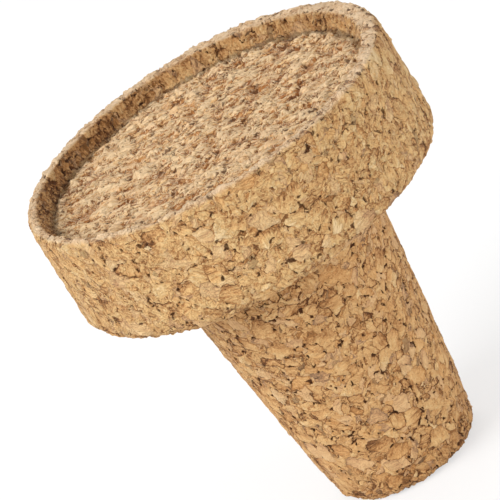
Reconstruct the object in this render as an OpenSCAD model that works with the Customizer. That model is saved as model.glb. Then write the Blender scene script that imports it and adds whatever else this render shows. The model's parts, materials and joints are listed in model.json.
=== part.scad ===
// Cork stopper for a carafe or bottle, moulded in one piece from cork granules.
// A broad round head, with a shallow recess in its top, stands on a tapered shank that
// wedges in the bottle's mouth. The origin is the centre of the shank's flat end, on which
// the stopper stands, and +Z runs up its axis to the head.

/* [Head] */
// Diameter of the head at its top
head_d = 50; // [40:0.5:70]
// Height of the head
head_h = 15.6; // [10:0.2:24]
// Extra radius that the head has at its underside
head_flare = 0.25; // [0:0.05:1.5]
// Rounding of the head's top outer edge
top_edge_r = 1; // [0.2:0.1:2]
// Rounding of the head's lower edge
low_edge_r = 2.2; // [0.4:0.1:3]

/* [Recess] */
// Mean width of the rim round the recess
rim_w = 2.1; // [1.6:0.1:6]
// Depth of the recess below the rim
recess_depth = 2.5; // [1:0.1:6]
// Distance that the recess wall leans in from its mouth to its floor
recess_lean = 0.5; // [0:0.1:1.5]
// Rounding between the recess wall and its floor
recess_corner_r = 0.8; // [0.2:0.1:1]
// Bevel of the rim's inner edge
mouth_bevel = 0.3; // [0.1:0.05:0.6]
// Distance of the recess centre from the head's axis
recess_shift = 0.75; // [0:0.05:1.3]
// Direction of that distance, measured round +Z from +X
recess_shift_turn = 225; // [0:5:355]

/* [Shank] */
// Diameter of the shank where it meets the head
shank_d = 29.4; // [25:0.2:36]
// Diameter of the shank at its end, if its taper ran on to there
tip_d = 20.5; // [12:0.5:24.5]
// Length of the shank below the head
shank_l = 38.5; // [20:0.5:60]
// Height of the lead-in, over which the end narrows faster than the taper
lead_in_h = 7; // [5:0.5:12]
// Extra that the lead-in takes off the radius at the end
lead_in = 0.4; // [0:0.05:1]
// Rounding of the shank's end
tip_edge_r = 1.8; // [0.4:0.1:4]
// Fillet between the shank and the head
neck_fillet_r = 0.8; // [0.2:0.1:1.8]

/* [Hidden] */
$fn = 128;

// Steps that draw each rounded corner
arc_steps = 8;
// Height by which the recess cutter clears the top of the head
cut_clear = 1;

top_z = shank_l + head_h;
floor_z = top_z - recess_depth;
mouth_r = head_d / 2 - rim_w;
floor_r = mouth_r - recess_lean;
lead_in_top_r = tip_d / 2 + (shank_d - tip_d) / 2 * lead_in_h / shank_l;

// The rim is thinnest on the side that the recess is shifted to, and where that is too
// thin for both of its edges, they shrink together.
thin_rim = rim_w - recess_shift;
crest_fit = min(1, 0.97 * thin_rim / (top_edge_r + mouth_bevel));
rim_edge_r = top_edge_r * crest_fit;
rim_bevel = mouth_bevel * crest_fit;

function unit(v) = v / norm(v);

// Arc of radius r that rounds the corner b of the path a-b-c.
function corner_arc(a, b, c, r) =
    let (
        to_a = unit(a - b),
        to_c = unit(c - b),
        half = acos(to_a * to_c) / 2,
        centre = b + unit(to_a + to_c) * r / sin(half),
        start = b + to_a * r / tan(half) - centre,
        stop = b + to_c * r / tan(half) - centre,
        first = atan2(start[1], start[0]),
        turn = atan2(cross(start, stop), start * stop)
    )
    [for (i = [0:arc_steps])
        let (angle = first + turn * i / arc_steps)
        centre + r * [cos(angle), sin(angle)]];

// Closed outline through corners written as [distance from the axis, height, rounding].
function rounded(corners) =
    let (
        n = len(corners),
        at = [for (corner = corners) [corner[0], corner[1]]]
    )
    [for (i = [0:n - 1])
        each corners[i][2] > 0
            ? corner_arc(at[(i + n - 1) % n], at[i], at[(i + 1) % n], corners[i][2])
            : [at[i]]];

// Head and shank as one turned form.
module body() {
    rotate_extrude()
        polygon(rounded([
            [0, 0, 0],
            [tip_d / 2 - lead_in, 0, tip_edge_r],
            [lead_in_top_r, lead_in_h, 0],
            [shank_d / 2, shank_l, neck_fillet_r],
            [head_d / 2 + head_flare, shank_l, low_edge_r],
            [head_d / 2, top_z, rim_edge_r],
            [0, top_z, 0]
        ]));
}

// What the recess takes out of the head, round its own axis.
module recess() {
    rotate_extrude()
        polygon(rounded([
            [0, floor_z, 0],
            [floor_r, floor_z, recess_corner_r],
            [mouth_r, top_z - rim_bevel, 0],
            [mouth_r + rim_bevel + cut_clear, top_z + cut_clear, 0],
            [0, top_z + cut_clear, 0]
        ]));
}

module stopper() {
    color([0.75, 0.59, 0.43])
        difference() {
            body();
            translate(recess_shift * [cos(recess_shift_turn), sin(recess_shift_turn), 0])
                recess();
        }
}

stopper();
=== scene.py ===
"""Looks of the cork stopper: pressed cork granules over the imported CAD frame.

One function, cork_structure, says where each granule, seam and crack of the cork lies. The
relief of the mesh and the colour of the material are both made from it, so they agree.
"""

import json
import math

import bpy
import numpy as np
from mathutils import Matrix, Vector


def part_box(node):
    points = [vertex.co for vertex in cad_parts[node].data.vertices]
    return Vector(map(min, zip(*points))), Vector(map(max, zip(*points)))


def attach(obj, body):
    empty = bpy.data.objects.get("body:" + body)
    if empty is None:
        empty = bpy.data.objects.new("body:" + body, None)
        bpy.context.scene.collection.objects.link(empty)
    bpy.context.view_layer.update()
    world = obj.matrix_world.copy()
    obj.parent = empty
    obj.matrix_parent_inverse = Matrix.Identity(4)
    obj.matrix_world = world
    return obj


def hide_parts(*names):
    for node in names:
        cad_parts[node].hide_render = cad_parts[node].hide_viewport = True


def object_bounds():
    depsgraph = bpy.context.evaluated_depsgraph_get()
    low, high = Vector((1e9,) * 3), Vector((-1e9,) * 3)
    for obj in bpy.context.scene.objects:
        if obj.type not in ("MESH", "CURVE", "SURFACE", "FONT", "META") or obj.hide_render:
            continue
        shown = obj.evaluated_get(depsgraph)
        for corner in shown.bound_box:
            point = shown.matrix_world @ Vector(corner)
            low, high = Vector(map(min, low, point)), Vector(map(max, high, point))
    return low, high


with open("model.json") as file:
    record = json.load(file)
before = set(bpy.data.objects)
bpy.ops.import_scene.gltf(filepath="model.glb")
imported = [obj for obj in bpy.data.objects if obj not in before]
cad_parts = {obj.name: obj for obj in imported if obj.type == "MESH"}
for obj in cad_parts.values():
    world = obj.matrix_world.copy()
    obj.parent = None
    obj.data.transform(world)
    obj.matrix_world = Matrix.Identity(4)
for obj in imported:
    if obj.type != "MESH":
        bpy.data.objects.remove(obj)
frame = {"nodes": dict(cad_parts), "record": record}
cad_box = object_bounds()

MM = 0.001

# Camera, in metres and degrees, with its lens and sensor in mm. It is rolled, so the upright
# stopper leans in its picture.
CAMERA_RISE = 22.16
CAMERA_ROLL = 32.09
CAMERA_REACH = 0.450
CAMERA_LENS = 257.0
CAMERA_SENSOR = 36.0
AIM_RIGHT = -0.00704
AIM_UP = 0.00494

# Lamps: turn round +Z from +X and rise in degrees, and power in watts. They are discs of one
# size at one distance from the origin, in metres.
LAMPS = {"key": (-160, 40, 6.1), "fill": (-45, 15, 3.8), "back": (90, 30, 2.5)}
LAMP_REACH = 0.8
LAMP_SIZE = 0.6
WORLD_LIGHT = 0.55

# Studio floor: half its side in metres, its grey, and the share of plain white that the camera
# sees of it at two distances in metres from the origin. Near the stopper its shadow shows.
FLOOR_HALF = 3.0
FLOOR_GREY = 0.82
WHITE_NEAR = (0.1, 0.6)
WHITE_FAR = (0.4, 1.0)

# Mesh density, in mm and triangles.
VOXEL = 0.16
TRIANGLES = 195000

# Granules, coarsest first: mean size in mm, stretch along their grain, turn of that grain
# in radians, and the share of the cells that are granules of this kind. The last fills up.
GRANULES = [
    (2.0, 1.3, (0.5, 0.9, 0.2), 0.28),
    (1.25, 1.7, (0.68, 0.64, 0.3), 0.45),
    (0.75, 3.4, (0.36, -0.52, 0.7), 0.45),
    (0.6, 1.6, (-0.73, -0.93, 1.4), 1.0),
]

# Size in mm below which a granule may be a grey one.
SMALL = 1.0

# Flakes of the torn recess floor: mean size in mm, stretch and turn.
FLAKES = (0.45, 3.0, (0.3, 1.25, 0.35))

# Wander of the seams in mm, in broad bends and in fine ones.
SWAY = 1.6
FRAY = 0.38

# Most that a granule's fibres are turned at random round each axis, in radians.
FIBRE_TURN = 6.3

# Distance in mm that stands for no seam near by.
NO_SEAM = 9.0

# Squeeze of the places on the recess floor, which draws its granules out along X.
FLOOR_DRAW = (0.76, 1.2, 1.0)

# Flat sheet of the bake's map: least slope of the faces laid down as they are, reach of the
# recess wall beyond its floor in mm, least share of the head's radius that its side has, half
# angles in degrees of the pieces that the head and the recess wall are cut into, and the gap
# between pieces in mm.
FLAT = 0.7
WALL_REACH = 1.9
HEAD_SHARE = 0.8
HEAD_BACK = 58.0
WALL_FRONT = 33.0
GAP = 0.6


# ---------------------------------------------------------------- node trees


class Graph:
    """Adds nodes to a shader or geometry tree through calls that return their output."""

    def __init__(self, tree):
        self.tree = tree

    def node(self, kind, inputs=None, **settings):
        made = self.tree.nodes.new(kind)
        for name, value in settings.items():
            setattr(made, name, value)
        for key, value in (inputs or {}).items():
            if isinstance(value, bpy.types.NodeSocket):
                self.tree.links.new(value, made.inputs[key])
            else:
                made.inputs[key].default_value = value
        return made

    def math(self, operation, *values):
        return self.node("ShaderNodeMath", dict(enumerate(values)), operation=operation).outputs[0]

    def total(self, *values):
        sum_so_far = values[0]
        for value in values[1:]:
            sum_so_far = self.math("ADD", sum_so_far, value)
        return sum_so_far

    def product(self, *values):
        product_so_far = values[0]
        for value in values[1:]:
            product_so_far = self.math("MULTIPLY", product_so_far, value)
        return product_so_far

    def minus(self, first, second):
        return self.math("SUBTRACT", first, second)

    def below(self, value, limit):
        """1 where value is below limit, 0 elsewhere."""
        return self.math("LESS_THAN", value, limit)

    def vector(self, operation, *values):
        inputs = dict(enumerate(values))
        if operation == "SCALE":
            inputs = {0: values[0], "Scale": values[1]}
        return self.node("ShaderNodeVectorMath", inputs, operation=operation).outputs[0]

    def stretched(self, point, factors):
        """point with each coordinate multiplied by a factor of its own."""
        return self.vector("MULTIPLY", point, factors)

    def dot(self, first, second):
        made = self.node("ShaderNodeVectorMath", {0: first, 1: second}, operation="DOT_PRODUCT")
        return made.outputs["Value"]

    def rotate(self, point, turn):
        inputs = {"Vector": point, "Rotation": turn}
        return self.node("ShaderNodeVectorRotate", inputs, rotation_type="EULER_XYZ").outputs[0]

    def noise(self, point, scale, detail=2.0, roughness=0.5, bend=0.0):
        inputs = {"Vector": point, "Scale": scale, "Detail": detail, "Roughness": roughness}
        inputs["Distortion"] = bend
        return self.node("ShaderNodeTexNoise", inputs)

    def patches(self, point, scale, low, high, to_low=0.0, to_high=1.0):
        """Soft patches: plain noise, carried from low-high to to_low-to_high."""
        return self.ramp(self.noise(point, scale).outputs["Fac"], low, high, to_low, to_high)

    def ripple(self, *details):
        """Noise about 0, by the same arguments as noise."""
        return self.minus(self.noise(*details).outputs["Fac"], 0.5)

    def lines(self, wave, width):
        """1 along the thin lines where a wave crosses 0."""
        return self.ramp(self.math("ABSOLUTE", wave), 0.0, width, 1.0, 0.0)

    def voronoi(self, point, feature):
        return self.node("ShaderNodeTexVoronoi", {"Vector": point, "Scale": 1.0}, feature=feature)

    def ramp(self, value, low, high, to_low=0.0, to_high=1.0):
        """Carries value from low-high to to_low-to_high along a smooth step."""
        inputs = {"Value": value, "From Min": low, "From Max": high}
        inputs.update({"To Min": to_low, "To Max": to_high})
        kind = "ShaderNodeMapRange"
        return self.node(kind, inputs, interpolation_type="SMOOTHSTEP").outputs[0]

    def mix(self, share, first, second):
        """first where share is 0, second where it is 1."""
        return self.node("ShaderNodeMix", {0: share, 2: first, 3: second}).outputs[0]

    def mix_vector(self, share, first, second):
        inputs = {0: share, 4: first, 5: second}
        return self.node("ShaderNodeMix", inputs, data_type="VECTOR").outputs[1]

    def mix_colour(self, share, first, second):
        inputs = {0: share, 6: first, 7: second}
        return self.node("ShaderNodeMix", inputs, data_type="RGBA").outputs[2]

    def parts(self, vector):
        return self.node("ShaderNodeSeparateXYZ", {0: vector}).outputs


# ---------------------------------------------------------------- structure of the cork


def granule_layer(g, point, size, stretch, turn):
    """Cells of one layer: the nearest cell's random vector, the next one's, half the
    difference of their distances, which is about the distance to the seam, and the height of
    a plane that leans at random through the cell's middle, both in mm."""
    across = 1 / size
    cells = g.stretched(g.rotate(point, turn), (across, across, across / stretch))
    near, next_near = g.voronoi(cells, "F1"), g.voronoi(cells, "F2")
    apart = g.minus(next_near.outputs["Distance"], near.outputs["Distance"])
    seam = g.product(apart, size / 2)
    own = near.outputs["Color"]
    from_middle = g.vector("SUBTRACT", cells, near.outputs["Position"])
    slope = g.vector("SUBTRACT", own, (0.5, 0.5, 0.5))
    return own, next_near.outputs["Color"], seam, g.product(g.dot(from_middle, slope), size)


def wandered(g, point):
    """The point, moved about by noise, so that the seams around it aren't straight."""
    half = (0.5, 0.5, 0.5)
    sway = g.vector("SUBTRACT", g.noise(point, 0.6).outputs["Color"], half)
    fray = g.vector("SUBTRACT", g.noise(point, 3.0, 3.0, 0.6).outputs["Color"], half)
    swayed = g.vector("ADD", point, g.vector("SCALE", sway, SWAY))
    return g.vector("ADD", swayed, g.vector("SCALE", fray, FRAY))


def granules(g, place):
    """The granules at a place: {"own", "seam", "lean", "rise", "step", "size"} as in
    cork_structure, and "coarse": 1 where the granule is of any layer but the last."""
    own = seam = lean = beyond = None
    cell_size = GRANULES[-1][0]
    coarse = 0.0
    for size, stretch, turn, share in reversed(GRANULES):
        mine, other, gap, tilt = granule_layer(g, place, size, stretch, turn)
        level = g.parts(other)[1]
        if own is None:
            own, seam, lean, beyond = mine, gap, tilt, level
            continue
        kept = g.below(g.parts(mine)[0], share)
        beside = g.below(g.parts(other)[0], share)
        edge = g.mix(beside, NO_SEAM, gap)
        outside = g.mix(g.below(edge, seam), beyond, level)
        beyond = g.mix(kept, outside, g.mix(beside, 0.5, level))
        seam = g.mix(kept, g.math("MINIMUM", seam, edge), gap)
        own = g.mix_vector(kept, own, mine)
        lean = g.mix(kept, lean, tilt)
        coarse = g.math("MAXIMUM", coarse, kept)
        cell_size = g.mix(kept, cell_size, size)
    rise = g.parts(own)[1]
    step = g.minus(beyond, rise)
    found = {"own": own, "seam": seam, "lean": lean, "rise": rise, "step": step}
    return {**found, "size": cell_size, "coarse": coarse}


def flakes(g, place, busy):
    """The flakes at a place, with the keys "flake..." of cork_structure."""
    flake, next_flake, seam, lean = granule_layer(g, place, *FLAKES)
    missing = g.below(g.parts(flake)[0], g.product(busy, busy, 0.1))
    rise = g.parts(flake)[1]
    return {
        "flake": flake,
        "flake_seam": seam,
        "flake_lean": lean,
        "flake_rise": rise,
        "flake_step": g.minus(g.parts(next_flake)[1], rise),
        "flake_gap": g.product(missing, g.ramp(seam, 0.02, 0.07)),
    }


def cork_structure(g, point):
    """The cork at a point in mm, as a dictionary.

    "own": its granule's random vector; "size": that granule's mean size in mm; "seam":
    distance to its edge in mm; "lean": height in mm of the random slope of its face; "rise":
    its random level from 0 to 1; "step": how far the next granule's level is above it;
    "crack": 1 in the cracks along coarse granules; "pit": 1 in the pits; "busy": how broken
    up the cork is there, about 1; "flake", "flake_seam", "flake_lean", "flake_rise" and
    "flake_step": the same numbers for the fine flakes; "flake_gap": 1 where a flake is missing.
    """
    place = wandered(g, point)
    found = granules(g, place)
    width = g.ramp(g.noise(point, 1.2, 1.0).outputs["Fac"], 0.54, 0.74, -0.03, 0.11)
    crack = g.ramp(g.minus(found["seam"], width), -0.03, 0.02, 1.0, 0.0)
    found["crack"] = g.product(crack, found["coarse"])
    hollows = g.noise(point, 1.3, 3.0, 0.6, 0.5).outputs["Fac"]
    found["pit"] = g.ramp(hollows, 0.36, 0.42, 1.0, 0.0)
    found["busy"] = g.patches(point, 0.3, 0.4, 0.58, 0.5, 1.25)
    return {**found, **flakes(g, place, found["busy"])}


def laid_place(g, point, recess):
    """The point at which to look up the cork: on the torn floor its granules lie drawn out
    along X."""
    on_floor = g.math("GREATER_THAN", recess, 0.5)
    return g.mix_vector(on_floor, point, g.stretched(point, FLOOR_DRAW))


def plate_level(g, cork, width):
    """Level of the granule's face about 0, from -0.5 to 0.5. Within width mm of its edge it
    turns up or down to meet the next granule half way."""
    meet = g.product(cork["step"], 0.5, g.ramp(cork["seam"], 0.0, width, 1.0, 0.0))
    return g.total(cork["rise"], meet, -0.5)


# ---------------------------------------------------------------- mesh


def apply_modifiers(ob):
    """Puts what ob's modifiers make into its mesh."""
    graph = bpy.context.evaluated_depsgraph_get()
    made = bpy.data.meshes.new_from_object(
        ob.evaluated_get(graph), preserve_all_data_layers=True, depsgraph=graph
    )
    old = ob.data
    ob.modifiers.clear()
    ob.data = made
    bpy.data.meshes.remove(old)


def points_of(me):
    co = np.empty(len(me.vertices) * 3)
    me.vertices.foreach_get("co", co)
    return co.reshape(-1, 3)


def store(me, name, values):
    """Keeps a number or a vector for each vertex as a named attribute."""
    vector = values.ndim == 2
    kind, field = ("FLOAT_VECTOR", "vector") if vector else ("FLOAT", "value")
    me.attributes.new(name, kind, "POINT").data.foreach_set(field, values.ravel())


def kept_number(g, name):
    """A vertex attribute's value in geometry nodes."""
    made = g.node("GeometryNodeInputNamedAttribute", {"Name": name}, data_type="FLOAT")
    return made.outputs["Attribute"]


def relief_height(g, point):
    """How far each point of the surface moves out along its normal, in mm."""
    edge, recess, wall = (kept_number(g, name) for name in ("edge", "recess", "wall"))
    cork = cork_structure(g, laid_place(g, point, recess))
    plate = g.product(plate_level(g, cork, 0.2), g.mix(recess, g.mix(edge, 0.26, 0.4), 0.55))
    from_seam = g.ramp(cork["seam"], 0.0, 0.25)
    lean = g.product(cork["lean"], from_seam, g.mix(recess, g.mix(edge, 0.25, 0.35), 0.85))
    grit = g.product(g.ripple(point, 1.2, 4.0, 0.6), g.mix(edge, 0.3, 1.3))
    torn = g.total(
        g.product(g.ripple(point, 0.55, 4.0, 0.6, 0.4), cork["busy"], 1.15),
        g.product(cork["pit"], -0.35),
        g.product(cork["flake_rise"], 0.22),
        g.product(cork["flake_lean"], 0.6),
        g.product(cork["flake_gap"], -0.3),
        -0.1,
    )
    upright = g.stretched(point, (2.2, 2.2, 1.0))
    return g.total(
        plate,
        lean,
        grit,
        g.product(cork["crack"], -0.3),
        g.product(recess, torn),
        g.product(wall, g.ripple(upright, 1.0, 3.0, 0.65), 1.3),
        g.product(g.ripple(point, 0.35), 0.3),
        -0.06,
    )


def relief_tree():
    """Geometry nodes that push each vertex out or in along its normal, keep how far as
    "height", and let none go below the end that the stopper stands on."""
    tree = bpy.data.node_groups.new("cork_relief", "GeometryNodeTree")
    tree.interface.new_socket("Geometry", in_out="INPUT", socket_type="NodeSocketGeometry")
    tree.interface.new_socket("Geometry", in_out="OUTPUT", socket_type="NodeSocketGeometry")
    g = Graph(tree)
    point = g.node("GeometryNodeInputPosition").outputs[0]
    height = relief_height(g, point)
    normal = g.node("GeometryNodeInputNormal").outputs[0]
    moved = g.parts(g.vector("ADD", point, g.vector("SCALE", normal, height)))
    level = g.math("MAXIMUM", moved[2], 0.0)
    place = g.node("ShaderNodeCombineXYZ", {0: moved[0], 1: moved[1], 2: level}).outputs[0]
    into, out = g.node("NodeGroupInput"), g.node("NodeGroupOutput")
    note = {"Geometry": into.outputs[0], "Name": "height", "Value": height}
    noted = g.node("GeometryNodeStoreNamedAttribute", note, data_type="FLOAT", domain="POINT")
    shaped = g.node("GeometryNodeSetPosition", {"Geometry": noted.outputs[0], "Position": place})
    tree.links.new(shaped.outputs[0], out.inputs[0])
    return tree


def form_of(me):
    """Places on the CAD form in mm, from its mesh in mm: the recess's middle across the axis,
    the radius and height of its floor, the heights of the head's underside and top, and the
    head's radius. The recess floor is what faces straight up below the top."""
    faces = [f for f in me.polygons if f.normal.z > 0.99]
    top = max(f.center.z for f in faces)
    floor = [f for f in faces if f.center.z < top - 1]
    area = sum(f.area for f in floor)
    centre = sum((f.center * f.area for f in floor), Vector()) / area
    underside = next(m for m in frame["record"]["mounts"] if m["name"] == "head_underside")
    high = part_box("stopper")[1] / MM
    return {
        "recess_hub": np.array([centre.x, centre.y]),
        "floor_z": centre.z,
        "floor_r": math.sqrt(area / math.pi),
        "neck_z": underside["pos_m"][2] / MM,
        "top_z": high.z,
        "head_r": high.x,
    }


def smooth_step(value, low, high):
    t = np.clip((value - low) / (high - low), 0, 1)
    return t * t * (3 - 2 * t)


def zone_shares(co, form):
    """The share from 0 to 1 that each point has in each zone of the surface. Points and the
    bands over which a zone begins or ends are in mm."""
    z, top, neck = co[:, 2], form["top_z"], form["neck_z"]
    across = np.hypot(co[:, 0], co[:, 1])
    away = np.linalg.norm(co[:, :2] - form["recess_hub"], axis=1) - form["floor_r"]
    in_head = z > form["floor_z"] - 1
    recess = (1 - smooth_step(away, -0.3, 0.3)) * in_head
    below_crest = 1 - smooth_step(z, top - 0.3, top - 0.05)
    wall = (away < 1.5) * in_head * (1 - recess) * below_crest
    crest = smooth_step(z, top - 0.45, top - 0.1) * (1 - wall)
    tip = 1 - smooth_step(z, 0.5, 5.0)
    low_corner = smooth_step(across, form["head_r"] - 3.2, form["head_r"] - 0.7)
    low_corner = low_corner * (1 - smooth_step(z, neck + 0.5, neck + 4))
    # Painted shade, darkening the colour: on the shank just under the head, towards the shank's end
    # and on the recess wall's left side.
    shade_under_head = smooth_step(z, neck - 14, neck - 1) * (z < neck + 0.5)
    shade_near_end = 1 - smooth_step(z, 4, 14)
    shaded_side = wall * smooth_step(-co[:, 0], -6, 12)
    return {
        "recess": recess,
        "wall": wall,
        "crest": crest,
        "tip": tip,
        "edge": np.maximum.reduce([crest * 0.7, tip * 0.8, low_corner * 0.6]),
        "shade": np.maximum.reduce([shade_under_head, shade_near_end, shaded_side]),
        "pressed": smooth_step(z, neck, neck + 2) * (1 - recess) * (1 - wall),
    }


def cork_body():
    """The stopper's visual piece: the CAD form, remeshed finely and given the cork's relief."""
    me = frame["nodes"]["stopper"].data.copy()
    me.transform(Matrix.Scale(1 / MM, 4))
    form = form_of(me)
    body = bpy.data.objects.new("cork_body", me)
    bpy.context.scene.collection.objects.link(body)
    remesh = body.modifiers.new("even", "REMESH")
    remesh.mode, remesh.voxel_size = "VOXEL", VOXEL
    apply_modifiers(body)
    co = points_of(body.data)
    store(body.data, "rest", co)
    for name, share in zone_shares(co, form).items():
        store(body.data, name, share)
    relief = body.modifiers.new("relief", "NODES")
    relief.node_group = relief_tree()
    thin = body.modifiers.new("thin", "DECIMATE")
    thin.ratio = TRIANGLES / (2 * len(body.data.polygons))
    thin.use_collapse_triangulate = True
    apply_modifiers(body)
    add_sheet_map(body.data, form)
    body.data.transform(Matrix.Scale(MM, 4))
    body.data.shade_smooth()
    body.data.materials.clear()
    body.data.materials.append(cork_material())
    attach(body, "root")
    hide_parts("stopper")


# ---------------------------------------------------------------- map for a bake


def corners_at_rest(me):
    """Where the three corners of each face lie before the relief, in mm."""
    rest = np.empty(len(me.vertices) * 3)
    me.attributes["rest"].data.foreach_get("vector", rest)
    corners = np.empty(len(me.loops), np.int64)
    me.loops.foreach_get("vertex_index", corners)
    return rest.reshape(-1, 3)[corners].reshape(-1, 3, 3)


def sheet_zones(at, form):
    """Which faces look up or down, and which of the rest are on the recess wall, the head's
    side and the shank."""
    middle = at.mean(axis=1)
    normal = np.cross(at[:, 1] - at[:, 0], at[:, 2] - at[:, 0])
    slope = normal[:, 2] / np.maximum(np.linalg.norm(normal, axis=1), 1e-12)
    across = np.hypot(middle[:, 0], middle[:, 1])
    away = np.linalg.norm(middle[:, :2] - form["recess_hub"], axis=1)
    in_head = middle[:, 2] > form["floor_z"] - 1
    up = (slope > FLAT) & in_head
    down = (slope < -FLAT) & (middle[:, 2] < form["neck_z"] + 3)
    wall = ~up & ~down & in_head & (away < form["floor_r"] + WALL_REACH)
    head = ~up & ~down & ~wall & (across > HEAD_SHARE * across.max())
    return up, down, wall, head, ~(up | down | wall | head)


def turn_from(place, axis, facing):
    """Angle of places round an axis, from half a turn before facing to half a turn past it."""
    turn = np.arctan2(place[..., 1] - axis[1], place[..., 0] - axis[0]) - facing
    return np.mod(turn + np.pi, 2 * np.pi) - np.pi


def unrolled(at, axis, facing):
    """Faces of a round wall laid flat in mm, by their turn round its axis and their height.
    The turn counts from facing, and each face keeps its corners together."""
    middle = at.mean(axis=1)
    turn = turn_from(middle, axis, facing)[:, None]
    turn = turn + turn_from(at, axis, facing + turn)
    radius = np.percentile(np.linalg.norm(middle[:, :2] - axis, axis=1), 95)
    return np.stack([turn * radius, at[:, :, 2]], axis=-1)


def add_sheet_map(me, form):
    """Lays the faces out on one flat sheet, as the UV map that a bake of the colours uses. The
    faces that look up or down go on it as they lie, and the round walls are unrolled."""
    at = corners_at_rest(me)
    middle = at.mean(axis=1)
    up, down, wall, head, shank = sheet_zones(at, form)
    hub, recess_hub = np.zeros(2), form["recess_hub"]
    front, back = -np.pi / 2, np.pi / 2
    head_back = head & (np.abs(turn_from(middle, hub, back)) < math.radians(HEAD_BACK))
    wall_front = wall & (np.abs(turn_from(middle, recess_hub, front)) < math.radians(WALL_FRONT))
    head_front, wall_back = head & ~head_back, wall & ~wall_front
    mirrored = (-1, 1)
    on_end = unrolled(at[head_back], hub, back)[..., ::-1] * mirrored
    shelves = [
        [(up, at[up, :, :2]), (down, at[down, :, :2] * mirrored), (head_back, on_end)],
        [(shank, unrolled(at[shank], hub, front))],
        [(head_front, unrolled(at[head_front], hub, front))],
        [(wall_back, unrolled(at[wall_back], recess_hub, back) * mirrored)],
        [(wall_front, unrolled(at[wall_front], recess_hub, front) * mirrored)],
    ]
    sheet = np.zeros((len(at), 3, 2))
    wide = y = GAP
    for shelf in shelves:
        x, tall = GAP, 0
        for zone, place in shelf:
            low = place.min(axis=(0, 1))
            size = place.max(axis=(0, 1)) - low
            sheet[zone] = place - low + (x, y)
            x, tall = x + size[0] + GAP, max(tall, size[1])
        wide, y = max(wide, x), y + tall + GAP
    layer = me.uv_layers.new(name="OFBake")
    layer.data.foreach_set("uv", (sheet / max(wide, y)).ravel())


# ---------------------------------------------------------------- material


def rgb(red, green, blue):
    """A colour written as sRGB bytes, as Blender's linear numbers."""
    def linear(byte):
        part = byte / 255
        return part / 12.92 if part <= 0.04045 else ((part + 0.055) / 1.055) ** 2.4
    return (linear(red), linear(green), linear(blue), 1.0)


# Colours of the cork, from its darkest tone to its palest.
TONES = [
    (0.00, rgb(96, 60, 34)),
    (0.20, rgb(152, 105, 62)),
    (0.40, rgb(188, 142, 92)),
    (0.60, rgb(205, 162, 109)),
    (0.80, rgb(211, 174, 123)),
    (1.00, rgb(219, 189, 146)),
]


def tone_ramp(g, value):
    ramp = g.node("ShaderNodeValToRGB", {0: value})
    band = ramp.color_ramp
    band.interpolation = "LINEAR"
    while len(band.elements) > 1:
        band.elements.remove(band.elements[-1])
    for place, colour in TONES:
        stop = band.elements[0] if place == 0 else band.elements.new(place)
        stop.color = colour
    return ramp.outputs[0]


def kept_zones(g):
    """Each zone's share, and the height of the relief in mm, as the mesh carries them. "torn"
    is how far the cork is torn into flakes."""
    names = ("recess", "wall", "crest", "tip", "shade", "pressed", "height")
    zones = {
        name: g.node("ShaderNodeAttribute", attribute_name=name).outputs["Fac"] for name in names
    }
    zones["torn"] = g.math("MAXIMUM", g.product(zones["crest"], 0.4), zones["recess"])
    return zones


def by_zone(g, zones, shank, head, floor):
    """A number with one value on the shank, one on the head's pressed side and one on the
    torn floor of the recess."""
    outside = shank if shank == head else g.mix(zones["pressed"], shank, head)
    return g.mix(zones["recess"], outside, floor)


def flake_tone(g, cork):
    """How much lighter or darker a flake is, from its own tint, with painted shade across its
    sloping face and painted shadows and lit lines at its edge.
    """
    edge = g.ramp(cork["flake_seam"], 0.0, 0.1, 1.0, 0.0)
    return g.total(
        g.product(g.minus(g.parts(cork["flake"])[2], 0.5), 0.4),
        cork["flake_lean"],
        g.product(edge, g.ramp(cork["flake_step"], 0.0, 0.5), -0.7),
        g.product(edge, g.ramp(cork["flake_step"], -0.5, 0.0, 1.0, 0.0), 0.16),
    )


def cork_marks(g, point, zones, cork):
    """Marks on the granules, as a dictionary. The first ones are waves about 0: "grain" and
    "fluff" are fine and coarse mottling, "ridge" is the recess wall's and "fold" is each
    granule's fibre. The others go from 0 to 1: "crease" and "streak" are thin lines, "groove",
    "shadow" and "lit" follow a granule's edge, and "tint" and "odd" are its random numbers."""
    recess, own, seam, step = zones["recess"], cork["own"], cork["seam"], cork["step"]
    drawn = g.stretched(point, (0.4, 1.1, 1.0))
    turned = g.rotate(point, g.vector("SCALE", own, FIBRE_TURN))

    def along_fibres(squeeze, floor_scale):
        """Where to look up a pattern that follows each granule's fibres, or X on the floor."""
        on_floor = g.vector("SCALE", drawn, floor_scale)
        return g.mix_vector(recess, g.stretched(turned, squeeze), on_floor)

    fibre = g.ripple(along_fibres((2.0, 2.0, 0.5), 2.0), 1.0, 3.0, 0.6, 0.8)
    wave = g.ripple(along_fibres((1.5, 1.5, 0.6), 1.4), 1.0, 3.0, 0.55, 0.5)
    floor_wave = g.ripple(g.stretched(point, (0.55, 1.7, 1.0)), 1.0, 3.0, 0.6, 0.9)
    tint = g.parts(own)[2]
    return {
        "grain": g.ripple(g.mix_vector(recess, point, drawn), 4.5, 3.0, 0.65),
        "fluff": g.ripple(drawn, 1.0, 5.0, 0.7, 0.5),
        "ridge": g.ripple(g.stretched(point, (3.0, 3.0, 1.6)), 1.0, 3.0, 0.6),
        "fold": g.product(fibre, g.ramp(seam, 0.0, 0.12, 0.3, 1.0)),
        "crease": g.lines(wave, 0.05),
        "streak": g.lines(floor_wave, 0.04),
        "groove": g.product(g.ramp(seam, 0.0, 0.1, 1.0, 0.0), g.patches(point, 1.1, 0.4, 0.6, 0.3)),
        "shadow": g.product(g.ramp(seam, 0.0, 0.2, 1.0, 0.0), g.ramp(step, 0.0, 0.5)),
        "lit": g.product(g.ramp(seam, 0.0, 0.16, 1.0, 0.0), g.ramp(step, -0.6, 0.0, 1.0, 0.0)),
        "tint": tint,
        "odd": g.math("FRACT", g.product(tint, 13.7)),
    }


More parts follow.
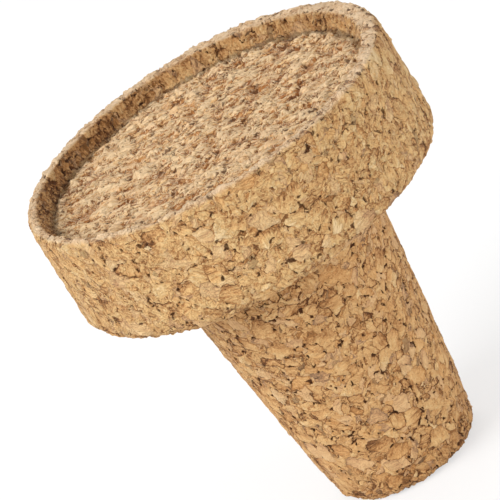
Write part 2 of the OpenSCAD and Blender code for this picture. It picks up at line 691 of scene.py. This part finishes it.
def cork_tone(g, zones, cork, marks):
    """Lightness of the cork, a place on the ramp of TONES."""
    recess, wall, pressed, busy = zones["recess"], zones["wall"], zones["pressed"], cork["busy"]

    def zoned(*values):
        return by_zone(g, zones, *values)

    granule = g.product(g.minus(marks["tint"], 0.5), zoned(0.2, 0.2, 0.35), g.mix(wall, 1.0, 0.3))
    floor = g.total(
        g.product(marks["fluff"], 1.3, busy),
        g.product(cork["pit"], -0.4),
        g.product(g.minus(0.9, busy), 0.14),
        0.43,
    )
    return g.total(
        0.605,
        g.product(pressed, 0.065),
        granule,
        # Painted shade: each granule's face is lighter on one side of its random slope and darker
        # on the other, as light falls across it.
        g.product(cork["lean"], g.mix(pressed, 0.3, 0.4)),
        g.product(marks["fold"], zoned(1.0, 1.25, 1.7)),
        g.product(marks["grain"], zoned(0.6, 0.7, 0.35)),
        g.product(marks["groove"], -0.12),
        g.product(marks["shadow"], zoned(-0.45, -0.36, -0.75)),
        g.product(marks["lit"], 0.06),
        g.product(marks["crease"], zoned(-0.1, -0.2, -0.2)),
        # Painted shade and light: darker in the relief's hollows and lighter on its crests, most on
        # the recess floor.
        g.product(zones["height"], zoned(0.5, 0.4, 1.0)),
        g.ramp(marks["odd"], 0.04, 0.05, 0.15, 0.0),
        g.product(recess, floor),
        g.product(flake_tone(g, cork), zones["torn"], busy),
        g.product(wall, g.total(g.product(marks["ridge"], 1.5), -0.02)),
        g.product(zones["crest"], g.total(g.product(marks["fluff"], 1.3), 0.18)),
        g.product(zones["tip"], -0.15),
        # Painted shade under the head, towards the shank's end and on the recess wall's left side.
        g.product(zones["shade"], g.mix(wall, -0.05, -0.2)),
    )


def cork_colour(g, zones, cork, marks, tone):
    """The ramp's colour at a tone, with each stain and the painted shade laid over it in turn."""
    recess, crest, pressed = zones["recess"], zones["crest"], zones["pressed"]

    def zoned(*values):
        return by_zone(g, zones, *values)

    kind = g.math("FRACT", g.product(marks["tint"], 7.1))
    pink = g.product(g.ramp(kind, 0.80, 0.84), zoned(0.3, 0.3, 0.4))
    orange = g.product(g.ramp(kind, 0.14, 0.18, 1.0, 0.0), zoned(0.22, 0.22, 0.45))
    small = g.below(cork["size"], SMALL)
    grey = g.product(g.ramp(marks["odd"], 0.95, 0.96), small, zoned(0.6, 0.6, 0.15))
    # Painted shade on the recess floor: its darker tones and the hollows of its relief turn warm
    # brown.
    dark = g.ramp(tone, 0.2, 0.65, 0.45, 0.0)
    low = g.ramp(zones["height"], -0.5, 0.05, 0.5, 0.0)
    hollow_shade = g.product(recess, g.math("MAXIMUM", dark, low))
    pale = g.product(recess, g.ramp(tone, 0.5, 0.95), 0.35)
    # The rim's top is turned paler and pinker in colour.
    paled_crest = g.product(crest, g.ramp(tone, 0.3, 0.65, 0.2, 0.65))
    golden = g.product(pressed, g.minus(1.0, crest), g.ramp(tone, 0.3, 0.7, 0.0, 0.11))
    stains_and_shade = [
        (pink, rgb(212, 176, 138)),
        (orange, rgb(204, 148, 88)),
        (grey, rgb(124, 98, 70)),
        (hollow_shade, rgb(168, 105, 55)),
        (pale, rgb(233, 198, 156)),
        (g.product(recess, marks["streak"], 0.75), rgb(229, 201, 163)),
        (g.product(recess, cork["pit"], 0.5), rgb(124, 82, 50)),
        (g.product(recess, cork["flake_gap"], 0.85), rgb(92, 58, 36)),
        (paled_crest, rgb(225, 197, 165)),
        (golden, rgb(226, 200, 138)),
        (g.product(cork["crack"], zoned(1.0, 0.8, 0.6)), rgb(80, 48, 25)),
    ]
    colour = tone_ramp(g, tone)
    for share, laid_colour in stains_and_shade:
        colour = g.mix_colour(share, colour, laid_colour)
    return colour


def cork_bumps(g, zones, cork, marks):
    """Height in mm of the detail that is finer than the mesh."""
    recess, wall, torn = zones["recess"], zones["wall"], zones["torn"]

    def zoned(*values):
        return by_zone(g, zones, *values)

    return g.total(
        g.product(plate_level(g, cork, 0.12), 0.12),
        g.product(marks["fold"], zoned(0.4, 0.55, 0.3)),
        g.product(marks["crease"], zoned(-0.04, -0.08, -0.08)),
        g.product(marks["grain"], zoned(0.16, 0.16, 0.04)),
        g.product(cork["lean"], 0.3),
        g.product(marks["groove"], -0.07),
        g.product(cork["crack"], -0.12),
        g.product(marks["fluff"], recess, 0.1),
        g.product(cork["flake_rise"], torn, 0.12),
        g.product(cork["flake_lean"], torn, 0.6),
        g.product(marks["ridge"], wall, 0.7),
    )


def cork_material():
    material = bpy.data.materials.new("cork")
    material.use_nodes = True
    tree = material.node_tree
    tree.nodes.clear()
    g = Graph(tree)
    point = g.node("ShaderNodeAttribute", attribute_name="rest").outputs["Vector"]
    zones = kept_zones(g)
    cork = cork_structure(g, laid_place(g, point, zones["recess"]))
    marks = cork_marks(g, point, zones, cork)
    tone = cork_tone(g, zones, cork, marks)
    bumps = {"Height": cork_bumps(g, zones, cork, marks), "Strength": 1.0, "Distance": MM}
    looks = {
        "Base Color": cork_colour(g, zones, cork, marks, tone),
        "Normal": g.node("ShaderNodeBump", bumps).outputs[0],
        "Roughness": 0.85,
        "Specular IOR Level": 0.12,
        "Sheen Weight": 0.05,
        "Sheen Roughness": 0.5,
        "Sheen Tint": rgb(255, 240, 228),
    }
    shader = g.node("ShaderNodeBsdfPrincipled", looks)
    out = g.node("ShaderNodeOutputMaterial")
    tree.links.new(shader.outputs[0], out.inputs[0])
    return material


# ---------------------------------------------------------------- camera, lamps and floor


def add_camera():
    low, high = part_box("stopper")
    middle = Vector((0, 0, (low.z + high.z) / 2))
    rise, roll = math.radians(CAMERA_RISE), math.radians(CAMERA_ROLL)
    back = Vector((0, -math.cos(rise), math.sin(rise)))
    level = Vector((1, 0, 0))
    upright = back.cross(level)
    right = level * math.cos(roll) - upright * math.sin(roll)
    up = level * math.sin(roll) + upright * math.cos(roll)
    place = Matrix((right, up, back)).transposed().to_4x4()
    place.translation = middle + AIM_RIGHT * right + AIM_UP * up + CAMERA_REACH * back
    data = bpy.data.cameras.new("camera")
    data.lens, data.sensor_width = CAMERA_LENS, CAMERA_SENSOR
    camera = bpy.data.objects.new("camera", data)
    camera.matrix_world = place
    bpy.context.scene.collection.objects.link(camera)
    bpy.context.scene.camera = camera


def seen_by_rays(g):
    """1 for rays from the camera, from a gloss or through glass."""
    path = g.node("ShaderNodeLightPath").outputs
    some = g.math("MAXIMUM", path["Is Camera Ray"], path["Is Glossy Ray"])
    return g.math("MAXIMUM", some, path["Is Transmission Ray"])


def add_world():
    """A plain world that lights softly and looks white."""
    world = bpy.data.worlds.new("studio")
    bpy.context.scene.world = world
    world.use_nodes = True
    tree = world.node_tree
    g = Graph(tree)
    background = tree.nodes["Background"]
    background.inputs["Color"].default_value = (1, 1, 1, 1)
    tree.links.new(g.mix(seen_by_rays(g), WORLD_LIGHT, 1.0), background.inputs["Strength"])


def add_lamp(name, turn, rise, power):
    data = bpy.data.lights.new(name, "AREA")
    data.shape, data.size, data.energy = "DISK", LAMP_SIZE, power
    lamp = bpy.data.objects.new(name, data)
    turn, rise = math.radians(turn), math.radians(rise)
    side = math.cos(rise)
    towards = Vector((side * math.cos(turn), side * math.sin(turn), math.sin(rise)))
    lamp.location = LAMP_REACH * towards
    lamp.rotation_euler = towards.to_track_quat("Z", "Y").to_euler()
    bpy.context.scene.collection.objects.link(lamp)


def floor_material():
    """Pale matt grey that takes shadows, seen more and more as plain white further out."""
    material = bpy.data.materials.new("floor")
    material.use_nodes = True
    tree = material.node_tree
    tree.nodes.clear()
    g = Graph(tree)
    matt = g.node("ShaderNodeBsdfDiffuse", {"Color": (FLOOR_GREY, FLOOR_GREY, FLOOR_GREY, 1)})
    glow = g.node("ShaderNodeEmission", {"Color": (1, 1, 1, 1), "Strength": 1.0})
    place = g.node("ShaderNodeNewGeometry").outputs["Position"]
    reach = g.node("ShaderNodeVectorMath", {0: place}, operation="LENGTH").outputs["Value"]
    (near, share_near), (far, share_far) = WHITE_NEAR, WHITE_FAR
    share = g.product(seen_by_rays(g), g.ramp(reach, near, far, share_near, share_far))
    both = g.node("ShaderNodeMixShader", {0: share, 1: matt.outputs[0], 2: glow.outputs[0]})
    out = g.node("ShaderNodeOutputMaterial")
    tree.links.new(both.outputs[0], out.inputs[0])
    return material


def add_floor():
    me = bpy.data.meshes.new("floor")
    half = FLOOR_HALF
    corners = [(-half, -half, 0), (half, -half, 0), (half, half, 0), (-half, half, 0)]
    me.from_pydata(corners, [], [(0, 1, 2, 3)])
    me.materials.append(floor_material())
    floor = bpy.data.objects.new("floor", me)
    floor.location.z = cad_box[0][2]
    bpy.context.scene.collection.objects.link(floor)


add_camera()
cork_body()
add_floor()
add_world()
for lamp_name, (lamp_turn, lamp_rise, lamp_power) in LAMPS.items():
    add_lamp(lamp_name, lamp_turn, lamp_rise, lamp_power)
bpy.context.scene.view_settings.view_transform = "Standard"
